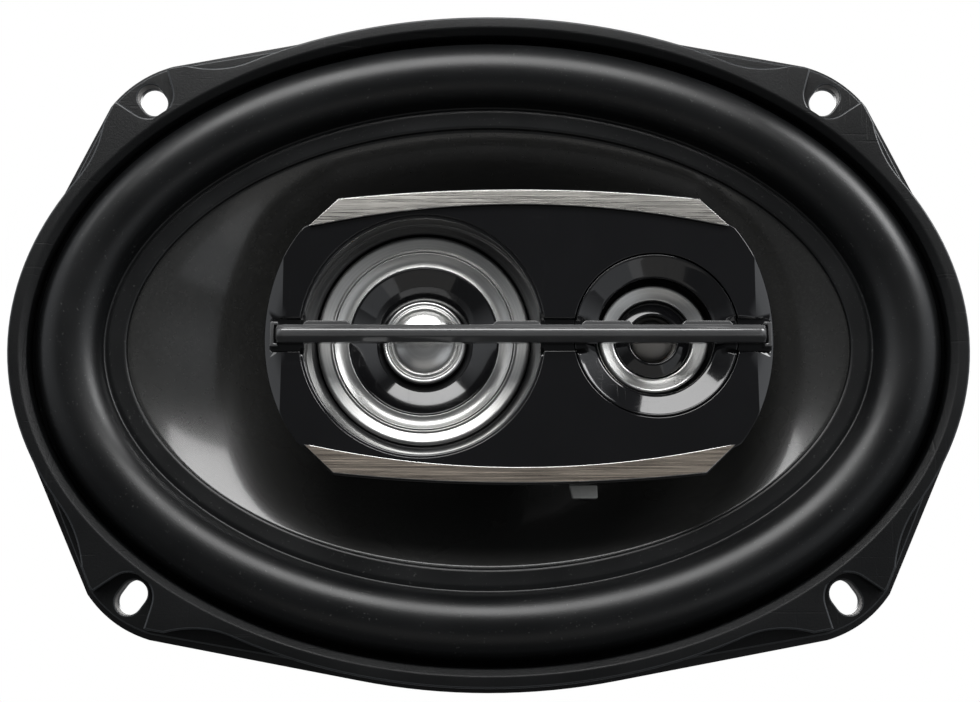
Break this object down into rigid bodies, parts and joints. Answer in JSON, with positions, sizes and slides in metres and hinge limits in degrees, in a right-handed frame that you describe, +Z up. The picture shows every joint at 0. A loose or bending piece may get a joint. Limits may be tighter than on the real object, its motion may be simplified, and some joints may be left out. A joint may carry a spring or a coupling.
{
  "type": "coaxial car speaker",
  "caption": "Oval coaxial car speaker with a pressed steel basket, rubber-edged cone and a central pod holding a mid-range and a tweeter.",
  "frame": {"origin": "on the speaker's axis, in the plane of the mounting flange's rear face", "axes": "+X along the long side, +Z up along the short side, and the speaker faces -Y"},
  "size_m": [0.2364, 0.1019, 0.168],
  "materials": {
    "frame_black_paint": "black stove enamel, satin",
    "gasket_slate": "dark slate, fine satin grain, light scuffs",
    "surround_rubber": "moulded, satin",
    "cone_graphite": "mica-filled polypropylene, satin",
    "former_foil": "thin foil",
    "copper_wire": "enamelled copper wire",
    "spider_cloth": "resin-stiffened cloth",
    "zinc_steel": "zinc plated",
    "ferrite": "ground ferrite",
    "boot_rubber": "moulded, matt",
    "pod_gloss_black": "piano black",
    "pod_matt_black": "fine moulded grain",
    "brushed_aluminium": "brushed along its length, bright edges",
    "bar_graphite": "dark metallic gloss",
    "silver_satin": "satin silver plating",
    "silver_film": "vapour-plated film",
    "dome_black": "coated dome",
    "board_phenolic": "phenolic board",
    "tab_brass": "bare blade",
    "lead_braid": "tinned braid",
    "capacitor_film": "wrapped film"
  },
  "bodies": {
    "frame": {"basket": "frame_black_paint", "front_gasket": "gasket_slate", "top_plate": "zinc_steel", "yoke": "zinc_steel", "motor_rivet_1": "zinc_steel", "motor_rivet_2": "zinc_steel", "motor_rivet_3": "zinc_steel", "motor_rivet_4": "zinc_steel", "post_washer": "zinc_steel", "post_nut": "zinc_steel", "terminal_rivet": "zinc_steel", "mid_yoke": "zinc_steel", "mid_magnet": "zinc_steel", "mid_pole_plate": "zinc_steel", "tweeter_yoke": "zinc_steel", "tweeter_magnet": "zinc_steel", "ferrite_magnet": "ferrite", "magnet_boot": "boot_rubber", "pod_post": "pod_matt_black", "pod_housing": "pod_matt_black", "tweeter_body": "pod_matt_black", "pod_fascia": "pod_gloss_black", "pod_catch": "pod_gloss_black", "mid_bezel": "pod_gloss_black", "tweeter_flare": "pod_gloss_black", "tweeter_guide_cone": "pod_gloss_black", "trim_strip_top": "brushed_aluminium", "trim_strip_bottom": "brushed_aluminium", "bridge_bar": "bar_graphite", "bar_clip_left": "bar_graphite", "bar_clip_right": "bar_graphite", "mid_frame": "silver_satin", "tweeter_ring": "silver_satin", "terminal_board": "board_phenolic", "terminal_positive": "tab_brass", "terminal_negative": "tab_brass", "crossover_capacitor_mid": "capacitor_film", "crossover_capacitor_tweeter": "capacitor_film"},
    "woofer": {"woofer_cone": "cone_graphite", "surround": "surround_rubber", "spider": "spider_cloth", "voice_coil_former": "former_foil", "voice_coil_winding": "copper_wire", "neck_glue_ring": "frame_black_paint", "tinsel_lead_positive": "lead_braid", "tinsel_lead_negative": "lead_braid"},
    "mid_range": {"mid_cone": "pod_gloss_black", "mid_dust_cap": "silver_film", "mid_surround": "silver_satin", "mid_voice_coil": "copper_wire"},
    "tweeter": {"tweeter_dome": "dome_black", "tweeter_suspension": "dome_black", "tweeter_voice_coil": "copper_wire"}
  },
  "joints": [
    {"name": "woofer_travel", "type": "slide", "parent": "frame", "child": "woofer", "axis": [0, -1, 0], "range_m": [-0.005, 0.005], "stiffness_N_per_m": 3000, "deforming": ["surround", "spider", "tinsel_lead_positive", "tinsel_lead_negative"]},
    {"name": "mid_travel", "type": "slide", "parent": "frame", "child": "mid_range", "axis": [0, -1, 0], "range_m": [-0.0004, 0.0004], "stiffness_N_per_m": 4000, "deforming": ["mid_surround"]},
    {"name": "tweeter_travel", "type": "slide", "parent": "frame", "child": "tweeter", "axis": [0, -1, 0], "range_m": [-0.00015, 0.00015], "stiffness_N_per_m": 2500, "deforming": ["tweeter_suspension"]}
  ]
}
